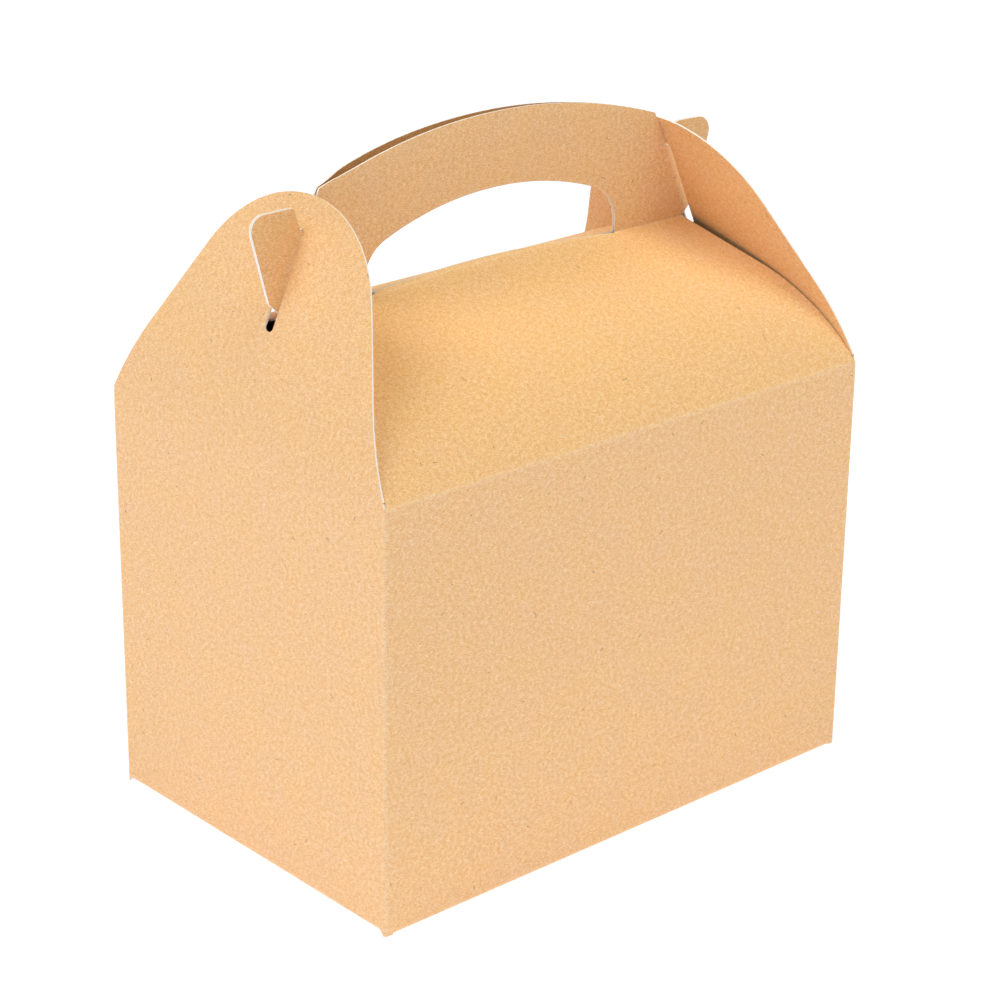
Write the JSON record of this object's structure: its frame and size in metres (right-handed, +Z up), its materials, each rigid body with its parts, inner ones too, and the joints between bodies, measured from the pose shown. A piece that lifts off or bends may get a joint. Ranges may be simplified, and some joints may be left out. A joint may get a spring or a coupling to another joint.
{
  "type": "kids meal box",
  "caption": "Closed gable-top carton of plain brown kraft board with a folded arched carry handle and hooked gable slots.",
  "frame": {"origin": "centre of the carton's bounding box on the plane that the bottom rests on", "axes": "+Z up towards the handle, X along the length of the box and the handle, -Y out of the front wall"},
  "size_m": [0.17, 0.114, 0.191],
  "materials": {
    "kraft_board": "plain uncoated brown kraft board, matte, with fine fibre mottling, pale cut edges"
  },
  "bodies": {
    "root": {"carton": "kraft_board"}
  },
  "joints": []
}
